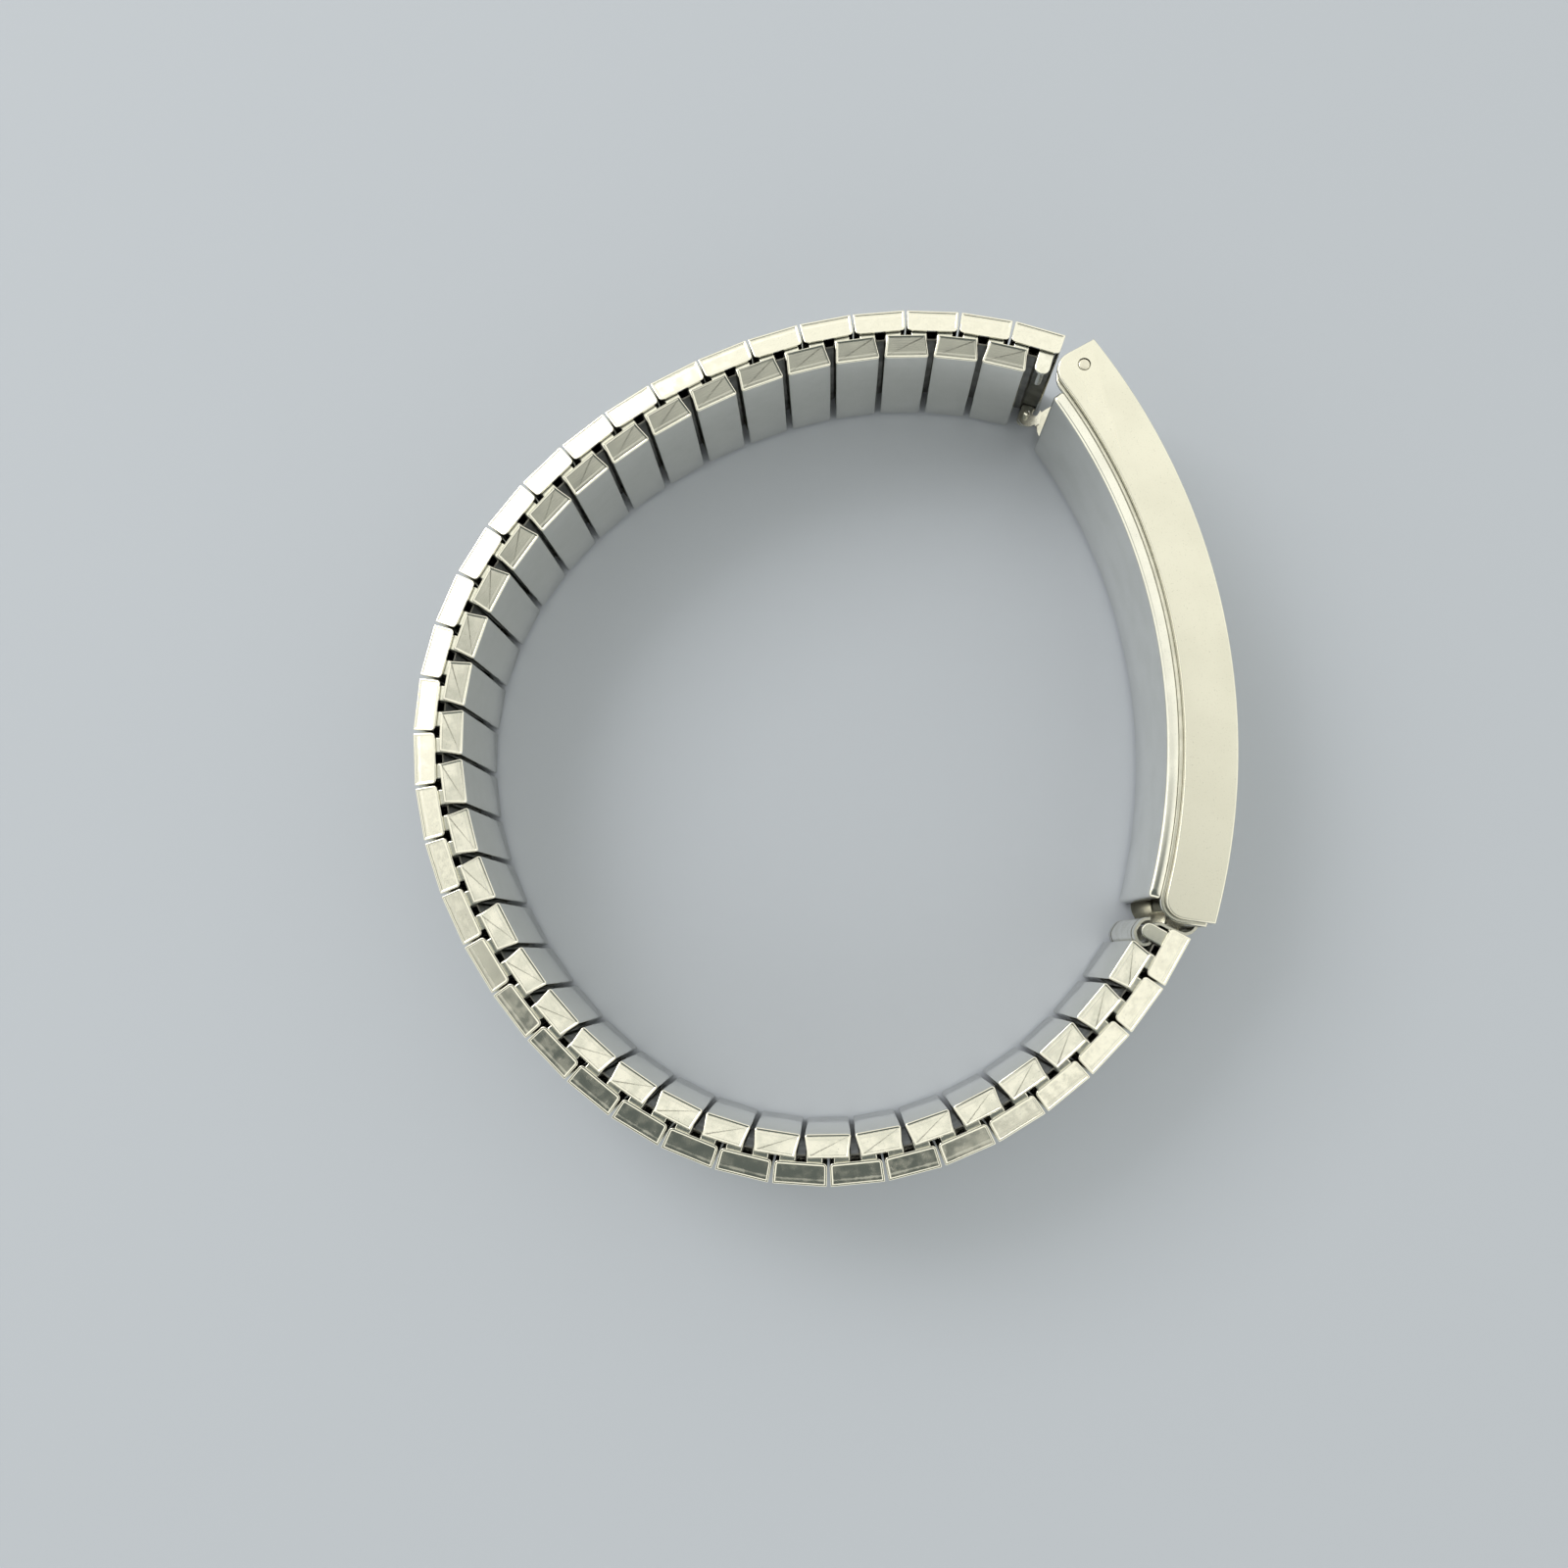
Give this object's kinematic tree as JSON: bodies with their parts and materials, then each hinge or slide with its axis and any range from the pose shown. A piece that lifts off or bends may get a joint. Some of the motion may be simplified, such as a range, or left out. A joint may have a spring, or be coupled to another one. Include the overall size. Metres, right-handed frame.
{
  "type": "expansion bracelet",
  "caption": "Stretch bracelet of two staggered rows of box links on U-staples, closed by a curved plate on pinned connectors.",
  "frame": {"origin": "under the middle of the bracelet, on the surface it stands on", "axes": "+Z across the band, up from the lower edge; +Y along the plate's chord; +X towards the plate"},
  "size_m": [0.0699, 0.073, 0.0146],
  "materials": {
    "plate_steel": "fine satin show face with polished edges",
    "link_steel": "satin show faces, polished rims",
    "casing_steel": "polished",
    "polished_steel": "polished",
    "connector_steel": "plain rolled strip",
    "pin_steel": "turned"
  },
  "bodies": {
    "plate": {"plate_shell": "plate_steel", "plate_liner": "polished_steel", "pin_upper": "pin_steel", "pin_lower": "pin_steel"},
    "connector_upper": {"connector_upper": "connector_steel"},
    "outer_01": {"outer_link_01": "link_steel"},
    "inner_01": {"inner_link_01": "casing_steel"},
    "pair_02": {"link_pair_02": "link_steel"},
    "outer_03": {"outer_link_03": "link_steel"},
    "inner_03": {"inner_link_03": "casing_steel"},
    "pair_04": {"link_pair_04": "link_steel"},
    "outer_05": {"outer_link_05": "link_steel"},
    "inner_05": {"inner_link_05": "casing_steel"},
    "pair_06": {"link_pair_06": "link_steel"},
    "outer_07": {"outer_link_07": "link_steel"},
    "inner_07": {"inner_link_07": "casing_steel"},
    "pair_08": {"link_pair_08": "link_steel"},
    "outer_09": {"outer_link_09": "link_steel"},
    "inner_09": {"inner_link_09": "casing_steel"},
    "pair_10": {"link_pair_10": "link_steel"},
    "outer_11": {"outer_link_11": "link_steel"},
    "inner_11": {"inner_link_11": "casing_steel"},
    "pair_12": {"link_pair_12": "link_steel"},
    "outer_13": {"outer_link_13": "link_steel"},
    "inner_13": {"inner_link_13": "casing_steel"},
    "pair_14": {"link_pair_14": "link_steel"},
    "outer_15": {"outer_link_15": "link_steel"},
    "inner_15": {"inner_link_15": "casing_steel"},
    "pair_16": {"link_pair_16": "link_steel"},
    "outer_17": {"outer_link_17": "link_steel"},
    "inner_17": {"inner_link_17": "casing_steel"},
    "pair_18": {"link_pair_18": "link_steel"},
    "connector_lower": {"connector_lower": "connector_steel"},
    "outer_36": {"outer_link_36": "link_steel"},
    "inner_35": {"inner_link_35": "casing_steel"},
    "pair_35": {"link_pair_35": "link_steel"},
    "outer_34": {"outer_link_34": "link_steel"},
    "inner_33": {"inner_link_33": "casing_steel"},
    "pair_33": {"link_pair_33": "link_steel"},
    "outer_32": {"outer_link_32": "link_steel"},
    "inner_31": {"inner_link_31": "casing_steel"},
    "pair_31": {"link_pair_31": "link_steel"},
    "outer_30": {"outer_link_30": "link_steel"},
    "inner_29": {"inner_link_29": "casing_steel"},
    "pair_29": {"link_pair_29": "link_steel"},
    "outer_28": {"outer_link_28": "link_steel"},
    "inner_27": {"inner_link_27": "casing_steel"},
    "pair_27": {"link_pair_27": "link_steel"},
    "outer_26": {"outer_link_26": "link_steel"},
    "inner_25": {"inner_link_25": "casing_steel"},
    "pair_25": {"link_pair_25": "link_steel"},
    "outer_24": {"outer_link_24": "link_steel"},
    "inner_23": {"inner_link_23": "casing_steel"},
    "pair_23": {"link_pair_23": "link_steel"},
    "outer_22": {"outer_link_22": "link_steel"},
    "inner_21": {"inner_link_21": "casing_steel"},
    "pair_21": {"link_pair_21": "link_steel"},
    "outer_20": {"outer_link_20": "link_steel"},
    "inner_19": {"inner_link_19": "casing_steel"},
    "outer_19": {"outer_link_19": "link_steel"}
  },
  "joints": [
    {"name": "band_flex", "type": "hinge", "parent": "plate", "child": "connector_upper", "pos_m": [0.0278, 0.02833, 0.0073], "axis": [0, 0, 1], "range_deg": [-3.84, 3.84]},
    {"name": "bend_end_upper", "type": "hinge", "parent": "connector_upper", "child": "outer_01", "pos_m": [0.02423, 0.0287, 0.0073], "axis": [0, 0, 1], "range_deg": [-0.51, 0.51]},
    {"name": "bend_01", "type": "hinge", "parent": "outer_01", "child": "inner_01", "pos_m": [0.02327, 0.03184, 0.0073], "axis": [0, 0, 1], "range_deg": [-2.16, 2.16]},
    {"name": "band_stretch", "type": "slide", "parent": "inner_01", "child": "pair_02", "axis": [-0.9386, 0.345, 0], "range_m": [0, 0.00177], "stiffness_N_per_m": 1500},
    {"name": "slide_03", "type": "slide", "parent": "pair_02", "child": "outer_03", "axis": [-0.9741, 0.2259, 0], "range_m": [0, 0.00164]},
    {"name": "bend_03", "type": "hinge", "parent": "outer_03", "child": "inner_03", "pos_m": [0.01458, 0.03473, 0.0073], "axis": [0, 0, 1], "range_deg": [-0.58, 0.58]},
    {"name": "slide_04", "type": "slide", "parent": "inner_03", "child": "pair_04", "axis": [-0.9942, 0.1073, 0], "range_m": [0, 0.0015]},
    {"name": "slide_05", "type": "slide", "parent": "pair_04", "child": "outer_05", "axis": [-1, -0.0063, 0], "range_m": [0, 0.00137]},
    {"name": "bend_05", "type": "hinge", "parent": "outer_05", "child": "inner_05", "pos_m": [0.00548, 0.03544, 0.0073], "axis": [0, 0, 1], "range_deg": [-0.59, 0.59]},
    {"name": "slide_06", "type": "slide", "parent": "inner_05", "child": "pair_06", "axis": [-0.9937, -0.1119, 0], "range_m": [0, 0.00124]},
    {"name": "slide_07", "type": "slide", "parent": "pair_06", "child": "outer_07", "axis": [-0.978, -0.2087, 0], "range_m": [0, 0.00112]},
    {"name": "bend_07", "type": "hinge", "parent": "outer_07", "child": "inner_07", "pos_m": [-0.00355, 0.0342, 0.0073], "axis": [0, 0, 1], "range_deg": [-0.96, 0.96]},
    {"name": "slide_08", "type": "slide", "parent": "inner_07", "child": "pair_08", "axis": [-0.9543, -0.2988, 0], "range_m": [0, 0.00102]},
    {"name": "slide_09", "type": "slide", "parent": "pair_08", "child": "outer_09", "axis": [-0.9226, -0.3857, 0], "range_m": [-0.000001, 0.00090973]},
    {"name": "bend_09", "type": "hinge", "parent": "outer_09", "child": "inner_09", "pos_m": [-0.01218, 0.03128, 0.0073], "axis": [0, 0, 1], "range_deg": [-0.96, 0.96]},
    {"name": "slide_10", "type": "slide", "parent": "inner_09", "child": "pair_10", "axis": [-0.8809, -0.4733, 0], "range_m": [-0.000001, 0.00080159]},
    {"name": "slide_11", "type": "slide", "parent": "pair_10", "child": "outer_11", "axis": [-0.8255, -0.5644, 0], "range_m": [-0.000001, 0.00068799]},
    {"name": "bend_11", "type": "hinge", "parent": "outer_11", "child": "inner_11", "pos_m": [-0.0201, 0.02674, 0.0073], "axis": [0, 0, 1], "range_deg": [-0.186, 0.186]},
    {"name": "slide_12", "type": "slide", "parent": "inner_11", "child": "pair_12", "axis": [-0.7523, -0.6588, 0], "range_m": [-0.000001, 0.00056867]},
    {"name": "slide_13", "type": "slide", "parent": "pair_12", "child": "outer_13", "axis": [-0.6582, -0.7528, 0], "range_m": [-0.000001, 0.0004476]},
    {"name": "bend_13", "type": "hinge", "parent": "outer_13", "child": "inner_13", "pos_m": [-0.02678, 0.02046, 0.0073], "axis": [0, 0, 1], "range_deg": [-1.05, 1.05]},
    {"name": "slide_14", "type": "slide", "parent": "inner_13", "child": "pair_14", "axis": [-0.5427, -0.8399, 0], "range_m": [-0.000001, 0.00033253]},
    {"name": "slide_15", "type": "slide", "parent": "pair_14", "child": "outer_15", "axis": [-0.4092, -0.9124, 0], "range_m": [-0.000001, 0.00023286]},
    {"name": "bend_15", "type": "hinge", "parent": "outer_15", "child": "inner_15", "pos_m": [-0.03146, 0.01255, 0.0073], "axis": [0, 0, 1], "range_deg": [-1.87, 1.87]},
    {"name": "slide_16", "type": "slide", "parent": "inner_15", "child": "pair_16", "axis": [-0.2649, -0.9643, 0], "range_m": [-0.000001, 0.00015654]},
    {"name": "slide_17", "type": "slide", "parent": "pair_16", "child": "outer_17", "axis": [-0.1187, -0.9929, 0], "range_m": [-0.000001, 0.00010751]},
    {"name": "bend_17", "type": "hinge", "parent": "outer_17", "child": "inner_17", "pos_m": [-0.03356, 0.00359, 0.0073], "axis": [0, 0, 1], "range_deg": [-1.87, 1.87]},
    {"name": "slide_18", "type": "slide", "parent": "inner_17", "child": "pair_18", "axis": [0.0211, -0.9998, 0], "range_m": [-0.000001, 0.00008494]},
    {"name": "bend_pin_lower", "type": "hinge", "parent": "plate", "child": "connector_lower", "pos_m": [0.0278, -0.0185, 0.0073], "axis": [0, 0, -1], "range_deg": [-4.82, 4.82]},
    {"name": "bend_end_lower", "type": "hinge", "parent": "connector_lower", "child": "outer_36", "pos_m": [0.0235, -0.02004, 0.0073], "axis": [0, 0, -1], "range_deg": [-1.13, 1.13]},
    {"name": "bend_35", "type": "hinge", "parent": "outer_36", "child": "inner_35", "pos_m": [0.02384, -0.02331, 0.0073], "axis": [0, 0, -1], "range_deg": [-1.93, 1.93]},
    {"name": "slide_35", "type": "slide", "parent": "inner_35", "child": "pair_35", "axis": [-0.7303, -0.6831, 0], "range_m": [0, 0.002]},
    {"name": "slide_34", "type": "slide", "parent": "pair_35", "child": "outer_34", "axis": [-0.8089, -0.5879, 0], "range_m": [0, 0.00188]},
    {"name": "bend_33", "type": "hinge", "parent": "outer_34", "child": "inner_33", "pos_m": [0.01696, -0.02935, 0.0073], "axis": [0, 0, -1], "range_deg": [-1.53, 1.53]},
    {"name": "slide_33", "type": "slide", "parent": "inner_33", "child": "pair_33", "axis": [-0.8765, -0.4814, 0], "range_m": [0, 0.00175]},
    {"name": "slide_32", "type": "slide", "parent": "pair_33", "child": "outer_32", "axis": [-0.9323, -0.3617, 0], "range_m": [0, 0.0016]},
    {"name": "bend_31", "type": "hinge", "parent": "outer_32", "child": "inner_31", "pos_m": [0.00878, -0.03349, 0.0073], "axis": [0, 0, -1], "range_deg": [-1.22, 1.22]},
    {"name": "slide_31", "type": "slide", "parent": "inner_31", "child": "pair_31", "axis": [-0.9737, -0.2277, 0], "range_m": [0, 0.00144]},
    {"name": "slide_30", "type": "slide", "parent": "pair_31", "child": "outer_30", "axis": [-0.9968, -0.0799, 0], "range_m": [0, 0.00126]},
    {"name": "bend_29", "type": "hinge", "parent": "outer_30", "child": "inner_29", "pos_m": [-0.00025, -0.03524, 0.0073], "axis": [0, 0, -1], "range_deg": [-0.108, 0.108]},
    {"name": "slide_29", "type": "slide", "parent": "inner_29", "child": "pair_29", "axis": [-0.997, 0.0777, 0], "range_m": [0, 0.00108]},
    {"name": "slide_28", "type": "slide", "parent": "pair_29", "child": "outer_28", "axis": [-0.9712, 0.2381, 0], "range_m": [-0.000001, 0.00088872]},
    {"name": "bend_27", "type": "hinge", "parent": "outer_28", "child": "inner_27", "pos_m": [-0.0094, -0.03413, 0.0073], "axis": [0, 0, -1], "range_deg": [-0.3849, 0.3849]},
    {"name": "slide_27", "type": "slide", "parent": "inner_27", "child": "pair_27", "axis": [-0.9199, 0.3921, 0], "range_m": [-0.000001, 0.00071165]},
    {"name": "slide_26", "type": "slide", "parent": "pair_27", "child": "outer_26", "axis": [-0.8472, 0.5313, 0], "range_m": [-0.000001, 0.00055433]},
    {"name": "bend_25", "type": "hinge", "parent": "outer_26", "child": "inner_25", "pos_m": [-0.01771, -0.03018, 0.0073], "axis": [0, 0, -1], "range_deg": [-0.1025, 0.1025]},
    {"name": "slide_25", "type": "slide", "parent": "inner_25", "child": "pair_25", "axis": [-0.7599, 0.65, 0], "range_m": [-0.000001, 0.00042275]},
    {"name": "slide_24", "type": "slide", "parent": "pair_25", "child": "outer_24", "axis": [-0.6653, 0.7466, 0], "range_m": [-0.000001, 0.00031817]},
    {"name": "bend_23", "type": "hinge", "parent": "outer_24", "child": "inner_23", "pos_m": [-0.02447, -0.02398, 0.0073], "axis": [0, 0, -1], "range_deg": [-0.3106, 0.3106]},
    {"name": "slide_23", "type": "slide", "parent": "inner_23", "child": "pair_23", "axis": [-0.5684, 0.8228, 0], "range_m": [-0.000001, 0.00023798]},
    {"name": "slide_22", "type": "slide", "parent": "pair_23", "child": "outer_22", "axis": [-0.4709, 0.8822, 0], "range_m": [-0.000001, 0.0001777]},
    {"name": "bend_21", "type": "hinge", "parent": "outer_22", "child": "inner_21", "pos_m": [-0.02945, -0.01632, 0.0073], "axis": [0, 0, -1], "range_deg": [-1.06, 1.06]},
    {"name": "slide_21", "type": "slide", "parent": "inner_21", "child": "pair_21", "axis": [-0.3712, 0.9286, 0], "range_m": [-0.000001, 0.00013309]},
    {"name": "slide_20", "type": "slide", "parent": "pair_21", "child": "outer_20", "axis": [-0.2654, 0.9641, 0], "range_m": [-0.000001, 0.00010189]},
    {"name": "bend_19", "type": "hinge", "parent": "outer_20", "child": "inner_19", "pos_m": [-0.0326, -0.00774, 0.0073], "axis": [0, 0, -1], "range_deg": [-1.55, 1.55]},
    {"name": "slide_19", "type": "slide", "parent": "inner_19", "child": "outer_19", "axis": [-0.1495, 0.9888, 0], "range_m": [-0.000001, 0.00008471]}
  ],
  "couplings": [
    {"joint": "bend_end_upper", "follows": "band_flex", "ratio": -0.13192},
    {"joint": "bend_01", "follows": "band_flex", "ratio": -0.56021},
    {"joint": "slide_03", "follows": "band_stretch", "ratio": 0.9227},
    {"joint": "bend_03", "follows": "band_flex", "ratio": -0.1491},
    {"joint": "slide_04", "follows": "band_stretch", "ratio": 0.84478},
    {"joint": "slide_05", "follows": "band_stretch", "ratio": 0.76937},
    {"joint": "bend_05", "follows": "band_flex", "ratio": -0.15213},
    {"joint": "slide_06", "follows": "band_stretch", "ratio": 0.69866},
    {"joint": "slide_07", "follows": "band_stretch", "ratio": 0.63319},
    {"joint": "bend_07", "follows": "band_flex", "ratio": -0.25},
    {"joint": "slide_08", "follows": "band_stretch", "ratio": 0.57178},
    {"joint": "slide_09", "follows": "band_stretch", "ratio": 0.51202},
    {"joint": "bend_09", "follows": "band_flex", "ratio": -0.24949},
    {"joint": "slide_10", "follows": "band_stretch", "ratio": 0.45115},
    {"joint": "slide_11", "follows": "band_stretch", "ratio": 0.38721},
    {"joint": "bend_11", "follows": "band_flex", "ratio": -0.047789},
    {"joint": "slide_12", "follows": "band_stretch", "ratio": 0.32004},
    {"joint": "slide_13", "follows": "band_stretch", "ratio": 0.25189},
    {"joint": "bend_13", "follows": "band_flex", "ratio": 0.27163},
    {"joint": "slide_14", "follows": "band_stretch", "ratio": 0.18712},
    {"joint": "slide_15", "follows": "band_stretch", "ratio": 0.13102},
    {"joint": "bend_15", "follows": "band_flex", "ratio": 0.48531},
    {"joint": "slide_16", "follows": "band_stretch", "ratio": 0.088061},
    {"joint": "slide_17", "follows": "band_stretch", "ratio": 0.060458},
    {"joint": "bend_17", "follows": "band_flex", "ratio": 0.48504},
    {"joint": "slide_18", "follows": "band_stretch", "ratio": 0.047756},
    {"joint": "bend_pin_lower", "follows": "band_flex", "ratio": 1.2507},
    {"joint": "bend_end_lower", "follows": "band_flex", "ratio": -0.29269},
    {"joint": "bend_35", "follows": "band_flex", "ratio": -0.50023},
    {"joint": "slide_35", "follows": "band_stretch", "ratio": 1.1282},
    {"joint": "slide_34", "follows": "band_stretch", "ratio": 1.0602},
    {"joint": "bend_33", "follows": "band_flex", "ratio": -0.39655},
    {"joint": "slide_33", "follows": "band_stretch", "ratio": 0.98526},
    {"joint": "slide_32", "follows": "band_stretch", "ratio": 0.90226},
    {"joint": "bend_31", "follows": "band_flex", "ratio": -0.31677},
    {"joint": "slide_31", "follows": "band_stretch", "ratio": 0.81049},
    {"joint": "slide_30", "follows": "band_stretch", "ratio": 0.71064},
    {"joint": "bend_29", "follows": "band_flex", "ratio": -0.027529},
    {"joint": "slide_29", "follows": "band_stretch", "ratio": 0.60557},
    {"joint": "slide_28", "follows": "band_stretch", "ratio": 0.50019},
    {"joint": "bend_27", "follows": "band_flex", "ratio": 0.099436},
    {"joint": "slide_27", "follows": "band_stretch", "ratio": 0.40052},
    {"joint": "slide_26", "follows": "band_stretch", "ratio": 0.31197},
    {"joint": "bend_25", "follows": "band_flex", "ratio": 0.026094},
    {"joint": "slide_25", "follows": "band_stretch", "ratio": 0.2379},
    {"joint": "slide_24", "follows": "band_stretch", "ratio": 0.17904},
    {"joint": "bend_23", "follows": "band_flex", "ratio": 0.08014},
    {"joint": "slide_23", "follows": "band_stretch", "ratio": 0.1339},
    {"joint": "slide_22", "follows": "band_stretch", "ratio": 0.099967},
    {"joint": "bend_21", "follows": "band_flex", "ratio": 0.27575},
    {"joint": "slide_21", "follows": "band_stretch", "ratio": 0.074858},
    {"joint": "slide_20", "follows": "band_stretch", "ratio": 0.057298},
    {"joint": "bend_19", "follows": "band_flex", "ratio": 0.40155},
    {"joint": "slide_19", "follows": "band_stretch", "ratio": 0.047627}
  ]
}
